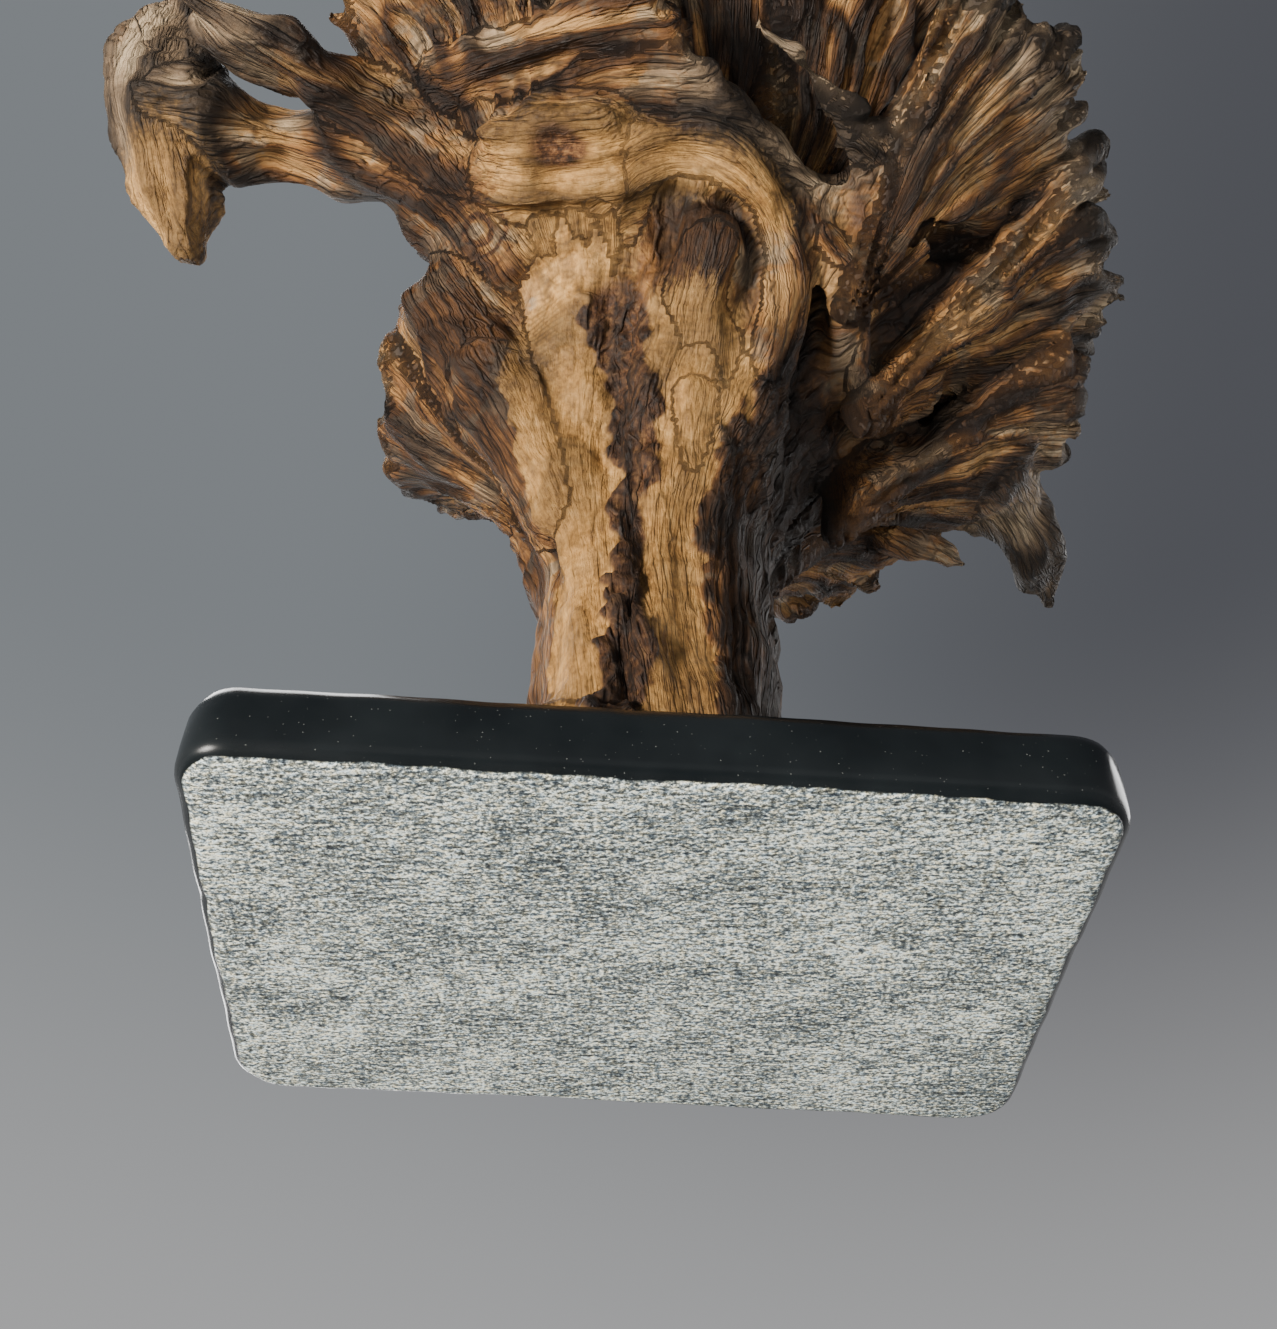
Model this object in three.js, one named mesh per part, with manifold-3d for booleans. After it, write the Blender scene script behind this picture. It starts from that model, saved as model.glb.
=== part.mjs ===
// Wood rose on a stand: a woody gall that grew like an open flower, standing on its stalk on a
// polished black stone plate. Millimetres, +Z up, origin at the middle of the plate's underside,
// +X to the right and -Y to the front.

import * as THREE from 'three';
import { ParametricGeometry } from 'three/addons/geometries/ParametricGeometry.js';
import { mergeVertices } from 'three/addons/utils/BufferGeometryUtils.js';
import Module from 'manifold-3d';

// Stone plate
const PLATE_WIDTH = 153;
const PLATE_DEPTH = 102;
const PLATE_THICKNESS = 15.5;
const PLATE_CORNER_RADIUS = 10;
const PLATE_ARRIS_RADIUS = 2.5;

// Steel pin in a blind hole in the stone and a blind hole in the stalk
const PIN_DIAMETER = 6;
const PIN_CLEARANCE = 0.3;
const PIN_DEPTH_IN_STONE = 10;
const PIN_DEPTH_IN_WOOD = 24;

// Glue between the stone and the foot of the stalk
const CONTACT_GAP = 0.3;
const GLUE_THICKNESS = 0.9;
const GLUE_SQUEEZE_OUT = 1.6;

// Stalk and the cup that it opens into
const STALK_RADIUS = 24;
const FOOT_RADIUS = 31;
const FOOT_FLARE_HEIGHT = 26;
const FLARE_START = 96;
const CUP_RADIUS = 72;
const CUP_SPREAD = 22;
const CUP_SPREAD_ANGLE = -25;
const CUP_RIM_HEIGHT = 188;
const CUP_WALL = 14;
const CUP_DEPTH = 34;
const STALK_FLUTES = 9;
const CUP_FLUTES = 15;

// Root toe that the foot sends to the front left corner of its seat
const TOE = { angle: -133, reach: 61, width: 8, height: 7 };

// Petals, each a fluted fan from the cup's wall. Angles are in degrees round the stalk, -90 to the
// front. reach, rim and root are the tip's distance from the axis, the tip's height and the height
// at which the petal leaves the stalk. width is half the tip's width, and thickness half its wall.
const PETALS = [
  { angle: -90, reach: 87, root: 130, rim: 176, width: 30, thickness: 6, ribs: 3, ragged: 2 },
  { angle: -121, reach: 116, root: 136, rim: 202, width: 28, thickness: 6, ribs: 3, ragged: 5 },
  { angle: -80, reach: 110, root: 166, rim: 228, width: 28, thickness: 5, ribs: 3, ragged: 5 },
  { angle: -44, reach: 122, root: 138, rim: 206, width: 42, thickness: 6, ribs: 5, ragged: 5 },
  { angle: -5, reach: 119, root: 118, rim: 188, width: 36, thickness: 6, ribs: 4, ragged: 4 },
  { angle: 20, reach: 106, root: 104, rim: 174, width: 23, thickness: 6, ribs: 3, ragged: 5 },
  { angle: 49, reach: 86, root: 100, rim: 170, width: 30, thickness: 6, ribs: 4, ragged: 4 },
  { angle: 88, reach: 75, root: 116, rim: 184, width: 27, thickness: 5.5, ribs: 4, ragged: 4 },
  { angle: 126, reach: 60, root: 116, rim: 178, width: 20, thickness: 6, ribs: 3, ragged: 3 },
  { angle: 163, reach: 73, root: 124, rim: 163, width: 20, thickness: 9, ribs: 2, ragged: 3 },
  { angle: -160, reach: 60, root: 136, rim: 180, width: 20, thickness: 8, ribs: 2, ragged: 2 },
];

// Branching arms, each through a few stations: [x, y, z, half width, half thickness]
const ARMS = [
  // long arm to the left
  [[-30, -28, 168, 15, 13], [-56, -48, 184, 9, 9], [-82, -51, 187, 9, 8], [-104, -54, 189, 12, 10],
    [-120, -56, 190, 9, 8]],
  // club across its end
  [[-112, -36, 173, 5, 5], [-114, -43, 181, 10, 9], [-116, -54, 191, 13, 11],
    [-117, -62, 198, 12, 10], [-115, -69, 205, 6, 5]],
  // finger in front of the arm
  [[-40, -44, 180, 12, 11], [-64, -60, 188, 9, 9], [-88, -71, 190, 8, 7], [-107, -80, 193, 5, 5]],
  // horn at the lower right
  [[62, 16, 158, 10, 7], [84, 18, 162, 10, 7], [98, 33, 166, 8, 6], [107, 47, 168, 5, 4.5],
    [114, 60, 168, 2, 2]],
];

const COLOURS = {
  stone_base: { color: 0x14181a, roughness: 0.28, metalness: 0 },
  wood_rose: { color: 0x8a6238, roughness: 0.7, metalness: 0 },
  mounting_pin: { color: 0x9da1a6, roughness: 0.35, metalness: 1 },
  glue_bed: { color: 0xb9a876, roughness: 0.4, metalness: 0 },
};

const TURN = 2 * Math.PI;
const radians = THREE.MathUtils.degToRad;
const mix = THREE.MathUtils.lerp;
const smooth = THREE.MathUtils.smoothstep;

const SEAT = PLATE_THICKNESS + CONTACT_GAP + GLUE_THICKNESS + CONTACT_GAP;

const wasm = await Module();
wasm.setup();

// A closed geometry as a solid: shared vertices merged, triangles that closed to a line dropped.
function solidFrom(geometry) {
  const bare = geometry.clone();
  bare.deleteAttribute('normal');
  bare.deleteAttribute('uv');
  const merged = mergeVertices(bare, 1e-4);
  const corners = [];
  const index = merged.index.array;
  for (let i = 0; i < index.length; i += 3) {
    const [a, b, c] = [index[i], index[i + 1], index[i + 2]];
    if (a !== b && b !== c && c !== a) corners.push(a, b, c);
  }
  return new wasm.Manifold(new wasm.Mesh({
    numProp: 3,
    vertProperties: new Float32Array(merged.attributes.position.array),
    triVerts: new Uint32Array(corners),
  }));
}

function geometryFrom(solid) {
  const { vertProperties, triVerts } = solid.getMesh();
  const geometry = new THREE.BufferGeometry();
  geometry.setAttribute('position', new THREE.BufferAttribute(vertProperties.slice(), 3));
  geometry.setIndex(new THREE.BufferAttribute(triVerts.slice(), 1));
  geometry.computeVertexNormals();
  return geometry;
}

// A closed surface: surface(angle, along, target) closes on itself round the angle and shrinks to
// a point at along = 0 and along = 1.
function closedSurface(surface, around, along) {
  const place = (u, v, target) => surface((u % 1) * TURN, v, target);
  return solidFrom(new ParametricGeometry(place, around, along));
}

// A point on a flat spoke from the axis.
function onSpoke(target, angle, radius, height) {
  return target.set(radius * Math.cos(angle), radius * Math.sin(angle), height);
}

// How far the foot of the stalk spreads at an angle.
function footRadius(angle) {
  return FOOT_RADIUS + 2.5 * Math.cos(3 * angle + 0.6) + 1.5 * Math.cos(5 * angle);
}

function stalkRadius(angle, height) {
  const spread = 1 - smooth(height, SEAT, SEAT + FOOT_FLARE_HEIGHT);
  const flute = 1.1 * Math.cos(STALK_FLUTES * angle + height / 45);
  return mix(STALK_RADIUS + flute, footRadius(angle), spread * spread);
}

// Stalk and cup: up the stalk, out under the flare, over the rim and down into the cup.
function stalkAndCup() {
  const stalkShare = 0.36;
  const flareShare = 0.7;
  const rimShare = 0.76;
  const cupFloor = CUP_RIM_HEIGHT - CUP_DEPTH;
  const surface = (angle, along, target) => {
    const wave = Math.cos(CUP_FLUTES * angle) * 2.2;
    const rim = CUP_RADIUS + CUP_SPREAD * Math.cos(angle - radians(CUP_SPREAD_ANGLE)) + wave;
    if (along <= stalkShare) {
      const climb = along / stalkShare;
      const foot = smooth(climb, 0, 0.12);
      const height = mix(SEAT, FLARE_START, Math.max(0, (climb - 0.12) / 0.88));
      const radius = stalkRadius(angle, height) * (climb < 0.12 ? foot : 1);
      return onSpoke(target, angle, radius, height);
    }
    if (along <= flareShare) {
      const out = (along - stalkShare) / (flareShare - stalkShare);
      const radius = mix(stalkRadius(angle, FLARE_START), rim, Math.pow(out, 1.7));
      const height = mix(FLARE_START, CUP_RIM_HEIGHT - CUP_WALL, Math.pow(out, 0.85));
      return onSpoke(target, angle, radius, height + wave * out);
    }
    if (along <= rimShare) {
      const over = (along - flareShare) / (rimShare - flareShare);
      const radius = rim + 2 * Math.sin(Math.PI * over);
      return onSpoke(target, angle, radius, mix(CUP_RIM_HEIGHT - CUP_WALL, CUP_RIM_HEIGHT, over) + wave);
    }
    const inward = 1 - (along - rimShare) / (1 - rimShare);
    const height = mix(cupFloor, CUP_RIM_HEIGHT + wave, inward * inward);
    return onSpoke(target, angle, rim * inward, height);
  };
  return closedSurface(surface, 60, 22);
}

// The share of a lofted solid's rows that closes each of its ends.
const END_SHARE = 0.06;

// A solid round a curve: halfSizes(s) gives its half width and half thickness, and shape(across, s)
// gives how far each point moves along the curve and upwards.
function lofted(curve, halfSizes, shape, around, along) {
  const centre = new THREE.Vector3();
  const tangent = new THREE.Vector3();
  const sideways = new THREE.Vector3();
  const upwards = new THREE.Vector3();
  const vertical = new THREE.Vector3(0, 0, 1);
  const surface = (angle, v, target) => {
    const s = THREE.MathUtils.clamp((v - END_SHARE) / (1 - 2 * END_SHARE), 0, 1);
    const closing = Math.min(1, v / END_SHARE, (1 - v) / END_SHARE);
    curve.getPoint(s, centre);
    curve.getTangent(s, tangent);
    sideways.crossVectors(tangent, vertical).normalize();
    upwards.crossVectors(sideways, tangent);
    const blunt = 1 - 0.45 * smooth(s, 0.75, 1);
    const [width, thickness] = halfSizes(s);
    const across = Math.cos(angle);
    const { forward, lift } = shape(across, s);
    target.copy(centre)
      .addScaledVector(sideways, across * width * closing)
      .addScaledVector(upwards, (lift - Math.sin(angle) * thickness * blunt) * closing)
      .addScaledVector(tangent, forward);
  };
  return closedSurface(surface, around, along);
}

// A petal leaves the stalk steeply and lies back to its rim, widening on the way. Ribs run from
// its root to its ragged rim, and its sides curl up.
function petal({ angle, reach, root, rim, width, thickness, ribs, ragged }) {
  const heading = radians(angle);
  const station = (radius, height) => onSpoke(new THREE.Vector3(), heading, radius, height);
  const curve = new THREE.CatmullRomCurve3([
    station(12, root),
    station(34, mix(root, rim, 0.62)),
    station(mix(34, reach, 0.5), mix(root, rim, 0.87)),
    station(reach, rim),
  ]);
  const halfSizes = (s) => [mix(11, width, Math.pow(s, 0.8)), mix(10, thickness, smooth(s, 0, 0.5))];
  const shape = (across, s) => ({
    forward: s * s * s * (ragged * Math.cos(ribs * 2.3 * across + heading) - 7 * across * across),
    lift: s * (1.6 * Math.cos(ribs * Math.PI * across) + 5 * across * across),
  });
  return lofted(curve, halfSizes, shape, 4 * ribs + 6, 7);
}

function arm(stations) {
  const curve = new THREE.CatmullRomCurve3(stations.map(([x, y, z]) => new THREE.Vector3(x, y, z)));
  const halfSizes = (s) => {
    const place = s * (stations.length - 1);
    const from = Math.min(Math.floor(place), stations.length - 2);
    const part = smooth(place - from, 0, 1);
    const [before, after] = [stations[from], stations[from + 1]];
    return [mix(before[3], after[3], part), mix(before[4], after[4], part)];
  };
  const shape = () => ({ forward: 0, lift: 0 });
  return lofted(curve, halfSizes, shape, 8, 2 * stations.length);
}

function rootToe() {
  const heading = radians(TOE.angle);
  const station = (radius, height) => onSpoke(new THREE.Vector3(), heading, radius, height);
  const curve = new THREE.CatmullRomCurve3([
    station(8, SEAT + 12), station(30, SEAT + 5), station(TOE.reach, SEAT),
  ]);
  const halfSizes = (s) => [mix(16, TOE.width, s), mix(13, TOE.height / 2, s)];
  return lofted(curve, halfSizes, () => ({ forward: 0, lift: 0 }), 12, 6);
}

// A round bar or drill, upright on the axis.
function upright(diameter, bottom, top) {
  const bar = new THREE.CylinderGeometry(diameter / 2, diameter / 2, top - bottom, 24);
  bar.rotateX(Math.PI / 2);
  bar.translate(0, 0, (bottom + top) / 2);
  return solidFrom(bar);
}

function roundedRectangle(width, depth, radius) {
  const [x, y] = [width / 2 - radius, depth / 2 - radius];
  const outline = new THREE.Shape();
  outline.absarc(x, y, radius, 0, TURN / 4);
  outline.absarc(-x, y, radius, TURN / 4, TURN / 2);
  outline.absarc(-x, -y, radius, TURN / 2, TURN * 0.75);
  outline.absarc(x, -y, radius, TURN * 0.75, TURN);
  return outline;
}

function stonePlate() {
  const inset = 2 * PLATE_ARRIS_RADIUS;
  const outline = roundedRectangle(
    PLATE_WIDTH - inset, PLATE_DEPTH - inset, PLATE_CORNER_RADIUS - PLATE_ARRIS_RADIUS,
  );
  const slab = new THREE.ExtrudeGeometry(outline, {
    depth: PLATE_THICKNESS - inset,
    bevelThickness: PLATE_ARRIS_RADIUS,
    bevelSize: PLATE_ARRIS_RADIUS,
    bevelSegments: 4,
    curveSegments: 6,
  });
  slab.translate(0, 0, PLATE_ARRIS_RADIUS);
  const hole = upright(
    PIN_DIAMETER + 2 * PIN_CLEARANCE, PLATE_THICKNESS - PIN_DEPTH_IN_STONE, PLATE_THICKNESS + 1,
  );
  return solidFrom(slab).subtract(hole);
}

function woodRose() {
  const keepAbove = new THREE.BoxGeometry(200, 200, 40);
  keepAbove.translate(0, 0, SEAT - 20);
  let wood = stalkAndCup().add(rootToe());
  for (const petalSizes of PETALS) wood = wood.add(petal(petalSizes));
  for (const stations of ARMS) wood = wood.add(arm(stations));
  const drill = upright(PIN_DIAMETER + 2 * PIN_CLEARANCE, SEAT - 1, SEAT + PIN_DEPTH_IN_WOOD);
  return wood.subtract(solidFrom(keepAbove)).subtract(drill);
}

function mountingPin() {
  const bottom = PLATE_THICKNESS - PIN_DEPTH_IN_STONE + CONTACT_GAP;
  return upright(PIN_DIAMETER, bottom, SEAT + PIN_DEPTH_IN_WOOD - CONTACT_GAP);
}

// The glue squeezes out a little past the foot, all round.
function glueBed() {
  const outline = new THREE.Shape();
  const steps = 48;
  const toe = radians(TOE.angle);
  for (let i = 0; i < steps; i += 1) {
    const angle = (i / steps) * TURN;
    const away = Math.cos(angle - toe);
    const onToe = away > 0 ? Math.pow(away, 14) : 0;
    const radius = mix(footRadius(angle), TOE.reach - 6, onToe) + GLUE_SQUEEZE_OUT;
    outline.lineTo(radius * Math.cos(angle), radius * Math.sin(angle));
  }
  const bed = new THREE.ExtrudeGeometry(outline, { depth: GLUE_THICKNESS, bevelEnabled: false });
  bed.translate(0, 0, PLATE_THICKNESS + CONTACT_GAP);
  const hole = upright(PIN_DIAMETER + 2 * PIN_CLEARANCE, PLATE_THICKNESS, SEAT);
  return solidFrom(bed).subtract(hole);
}

const group = new THREE.Group();
const solids = {
  stone_base: stonePlate(),
  wood_rose: woodRose(),
  mounting_pin: mountingPin(),
  glue_bed: glueBed(),
};
for (const [name, solid] of Object.entries(solids)) {
  const mesh = new THREE.Mesh(geometryFrom(solid), new THREE.MeshStandardMaterial(COLOURS[name]));
  mesh.name = name;
  group.add(mesh);
}

export default group;
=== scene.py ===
import math

import bpy
import numpy as np
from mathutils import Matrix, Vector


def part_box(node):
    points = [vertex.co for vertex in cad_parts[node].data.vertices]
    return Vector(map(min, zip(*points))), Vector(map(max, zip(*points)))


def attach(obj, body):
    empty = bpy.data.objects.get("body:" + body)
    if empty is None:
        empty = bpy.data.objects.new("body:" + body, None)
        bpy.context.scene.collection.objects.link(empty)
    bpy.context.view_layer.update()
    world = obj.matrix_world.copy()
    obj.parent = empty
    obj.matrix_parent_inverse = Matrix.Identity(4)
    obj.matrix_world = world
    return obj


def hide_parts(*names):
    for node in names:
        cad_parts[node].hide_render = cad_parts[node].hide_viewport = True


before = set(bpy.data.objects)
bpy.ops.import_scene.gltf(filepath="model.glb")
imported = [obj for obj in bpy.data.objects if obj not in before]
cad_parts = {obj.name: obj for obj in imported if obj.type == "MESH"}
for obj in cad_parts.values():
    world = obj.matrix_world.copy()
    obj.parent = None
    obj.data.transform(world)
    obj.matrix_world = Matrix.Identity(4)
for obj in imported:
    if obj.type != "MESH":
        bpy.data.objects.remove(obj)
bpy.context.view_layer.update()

import openvdb
from mathutils import Matrix, Vector


# ---- Camera ----
# It stands in front of the plate and below it, and looks up at the plate's underside and the
# rose, a little from the left.
camera_data = bpy.data.cameras.new("camera")
camera_data.sensor_width = 36.0
camera_data.lens = 43.45
camera_data.clip_start = 0.01
camera_data.clip_end = 20.0
camera = bpy.data.objects.new("camera", camera_data)
bpy.context.scene.collection.objects.link(camera)
camera_turn = math.radians(-2.41)
camera_tilt = math.radians(90 + 44.52)
camera_roll = math.radians(1.6)
camera.matrix_world = (
    Matrix.Translation((-0.0116, -0.2383, -0.1609))
    @ Matrix.Rotation(camera_turn, 4, "Z")
    @ Matrix.Rotation(camera_tilt, 4, "X")
    @ Matrix.Rotation(camera_roll, 4, "Z")
)
bpy.context.scene.camera = camera


# ---- Stone base ----
# A slab of black granite, ground and polished by hand on its top and edges and left as it came
# from the saw underneath. A blind hole in its top takes the pin.
MM = 0.001


class Field:
    """A shader socket that can be reckoned with: each sum adds a Math node."""

    def __init__(self, tree, socket):
        self.tree = tree
        self.socket = socket

    def math(self, operation, *others):
        return self.tree.node("ShaderNodeMath", {"operation": operation}, [self, *others])

    def __add__(self, other):
        return self.math("ADD", other)

    __radd__ = __add__

    def __mul__(self, other):
        return self.math("MULTIPLY", other)

    __rmul__ = __mul__

    def __sub__(self, other):
        return self.math("SUBTRACT", other)

    def __rsub__(self, other):
        return self.math("MULTIPLY", -1.0).math("ADD", other)

    def minimum(self, other):
        return self.math("MINIMUM", other)

    def maximum(self, other):
        return self.math("MAXIMUM", other)

    def ramp(self, low, high, start=0.0, end=1.0):
        """start below low, end above high, and a smooth step between them."""
        return self.tree.node(
            "ShaderNodeMapRange", {"interpolation_type": "SMOOTHSTEP"},
            {"Value": self, "From Min": low, "From Max": high, "To Min": start, "To Max": end})


class Finish:
    """A material with its Principled shader and one method that adds any other node."""

    def __init__(self, name, **constants):
        self.material = bpy.data.materials.new(name)
        self.material.use_nodes = True
        self.nodes = self.material.node_tree.nodes
        self.links = self.material.node_tree.links
        self.shader = next(node for node in self.nodes if node.type == "BSDF_PRINCIPLED")
        self.surface(**constants)

    def node(self, kind, settings=None, sockets=None, output=0):
        made = self.nodes.new(kind)
        for setting, value in (settings or {}).items():
            setattr(made, setting, value)
        named = sockets.items() if isinstance(sockets, dict) else enumerate(sockets or [])
        for socket, value in named:
            self.feed(made.inputs[socket], value)
        return Field(self, made.outputs[output])

    def feed(self, socket, value):
        if isinstance(value, Field):
            self.links.new(value.socket, socket)
        else:
            socket.default_value = value

    def place(self):
        """Where a point is on the object, in metres."""
        return self.node("ShaderNodeTexCoord", output="Object")

    def stored(self, name, output="Fac"):
        """What the mesh keeps under a name."""
        return self.node("ShaderNodeAttribute", {"attribute_name": name}, output=output)

    def scaled(self, place, size, turn):
        """place turned, then drawn out so that one unit is size along each axis."""
        scale = tuple(1.0 / length for length in size)
        turned = place
        if any(turn):
            turned = self.node("ShaderNodeVectorRotate", {"rotation_type": "EULER_XYZ"},
                               {"Vector": place, "Rotation": turn})
        return self.node("ShaderNodeVectorMath", {"operation": "MULTIPLY"}, [turned, scale])

    def noise(self, place, size, turn=(0.0, 0.0, 0.0), detail=3.0, roughness=0.55, distortion=0.0):
        """Noise with lumps of a size, drawn out along turned axes."""
        return self.node("ShaderNodeTexNoise", {}, {
            "Vector": self.scaled(place, size, turn), "Scale": 1.0, "Detail": detail,
            "Roughness": roughness, "Distortion": distortion})

    def cells(self, place, size, turn=(0.0, 0.0, 0.0), feature="F1"):
        return self.node("ShaderNodeTexVoronoi", {"feature": feature}, {
            "Vector": self.scaled(place, size, turn), "Scale": 1.0})

    def blend(self, share, low, high):
        """A colour between two others."""
        return self.node("ShaderNodeMix", {"data_type": "RGBA"}, {0: share, 6: low, 7: high},
                         output=2)

    def colours(self, value, stops):
        """value as a colour: stops are (position, colour)."""
        made = self.nodes.new("ShaderNodeValToRGB")
        self.feed(made.inputs[0], value)
        elements = made.color_ramp.elements
        while len(elements) < len(stops):
            elements.new(1.0)
        for element, (position, colour) in zip(elements, stops):
            element.position = position
            element.color = colour
        return Field(self, made.outputs[0])

    def bump(self, height, depth):
        """A normal from a height of 0 to 1 that stands depth metres high."""
        return self.node("ShaderNodeBump", {},
                         {"Height": height, "Distance": depth, "Strength": 1.0})

    def surface(self, **values):
        """The shader's sockets set or fed, and the material that they belong to."""
        for socket, value in values.items():
            named = socket.replace("_", " ").title().replace("Ior", "IOR")
            self.feed(self.shader.inputs[named], value)
        return self.material


def rgb(red, green, blue):
    return (red, green, blue, 1.0)


def mesh_object(name, points, faces, material):
    mesh = bpy.data.meshes.new(name)
    mesh.from_pydata([tuple(point) for point in points], [], faces)
    mesh.update()
    mesh.polygons.foreach_set("use_smooth", [True] * len(mesh.polygons))
    mesh.materials.append(material)
    made = bpy.data.objects.new(name, mesh)
    bpy.context.scene.collection.objects.link(made)
    return made


def waves(angle, seed, counts, sizes):
    """Smooth waves round an angle, the same on every run."""
    total = 0.0
    for step, (count, size) in enumerate(zip(counts, sizes)):
        total += size * math.sin(count * angle + seed * 1.7 + step * 2.3)
    return total


stone_low, stone_high = (np.array(corner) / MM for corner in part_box("stone_base"))
STONE_CORNER = 10.0
STONE_POINTS = 360
PIN_HOLE_RADIUS = 3.3
PIN_HOLE_DEPTH = 10.0
half_width, half_depth = (stone_high[:2] - stone_low[:2]) / 2
stone_height = stone_high[2] - stone_low[2]


def slab_outline(share, inset):
    """A point on the slab's rounded outline, inset by some millimetres."""
    deeper = max(0.0, inset - STONE_CORNER + 1.0)
    straight_x = half_width - STONE_CORNER - deeper
    straight_y = half_depth - STONE_CORNER - deeper
    arc = math.pi * STONE_CORNER / 2
    run = share % 1.0 * (4 * (straight_x + straight_y) + 4 * arc)
    corners = [(1, -1), (1, 1), (-1, 1), (-1, -1)]
    radius = STONE_CORNER - inset + deeper
    for side in range(4):
        length = 2 * (straight_x if side % 2 else straight_y)
        quarter = side * math.pi / 2
        centre = corners[side]
        if run < length:
            outward = (math.cos(quarter), math.sin(quarter))
            onward = (-outward[1], outward[0])
            x = centre[0] * straight_x + onward[0] * run + outward[0] * radius
            y = centre[1] * straight_y + onward[1] * run + outward[1] * radius
            return x, y
        run -= length
        if run < arc:
            turn = quarter + run / STONE_CORNER
            centre = corners[(side + 1) % 4]
            x = centre[0] * straight_x + radius * math.cos(turn)
            y = centre[1] * straight_y + radius * math.sin(turn)
            return x, y
        run -= arc
    return slab_outline(0.0, inset)


def circle(radius, height, bearings):
    """A level ring of points, in metres, from millimetres."""
    return [(radius * MM * math.cos(bearing), radius * MM * math.sin(bearing), height * MM)
            for bearing in bearings]


def slab_rings():
    """The slab's rings of points from the middle of its underside to the floor of its hole."""
    arris = 2.3
    crown = 2.6
    # (inset, height) of each ring, with how much of the hand's waviness it shows
    profile = [(half_depth * 0.6, 0.0, 0.0), (12.0, 0.0, 0.0), (arris + 1.4, 0.0, 0.3),
               (arris, 0.0, 1.0), (arris * 0.62, 0.34, 1.0), (arris * 0.3, 0.95, 0.8),
               (arris * 0.08, 1.8, 0.6), (0.0, 3.0, 0.5), (0.0, stone_height * 0.45, 0.4),
               (0.1, stone_height - crown - 1.2, 0.4), (0.35, stone_height - crown, 0.5),
               (crown * 0.35, stone_height - crown * 0.45, 0.6),
               (crown * 0.75, stone_height - crown * 0.12, 0.6), (crown * 1.2, stone_height, 0.3),
               (crown * 2.2, stone_height, 0.0), (14.0, stone_height, 0.0)]
    rings = []
    shares = [step / STONE_POINTS for step in range(STONE_POINTS)]
    for inset, height, wavy in profile:
        ring = []
        for share in shares:
            angle = share * 2 * math.pi
            wave = waves(angle, 1, (3, 7, 17, 41), (0.16, 0.18, 0.12, 0.1))
            wave += 0.5 * max(0.0, waves(angle, 4, (5, 13, 37), (0.5, 0.5, 0.5)) - 0.9)
            x, y = slab_outline(share, inset + wavy * (0.42 + wave))
            ring.append((x * MM, y * MM, height * MM))
        rings.append(ring)
    bearings = [math.atan2(*reversed(slab_outline(share, 0.0))) for share in shares]
    for radius, height in [(PIN_HOLE_RADIUS + 12.0, stone_height), (PIN_HOLE_RADIUS, stone_height),
                           (PIN_HOLE_RADIUS, stone_height - PIN_HOLE_DEPTH)]:
        rings.append(circle(radius, height, bearings))
    return rings


def bridged(rings, looped=False):
    """Points and faces of rings joined in turn. The first and the last ring are closed, or are
    joined to each other."""
    count = len(rings[0])
    points = [point for ring in rings for point in ring]
    faces = []
    for row in range(len(rings) - (0 if looped else 1)):
        other = (row + 1) % len(rings)
        for step in range(count):
            after = (step + 1) % count
            faces.append((row * count + step, row * count + after,
                          other * count + after, other * count + step))
    if looped:
        return points, faces
    for ring, flip in ((0, True), (len(rings) - 1, False)):
        middle = len(points)
        points.append(tuple(np.mean(rings[ring], axis=0)))
        for step in range(count):
            pair = (ring * count + step, ring * count + (step + 1) % count)
            faces.append((middle, *(reversed(pair) if flip else pair)))
    return points, faces


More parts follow.
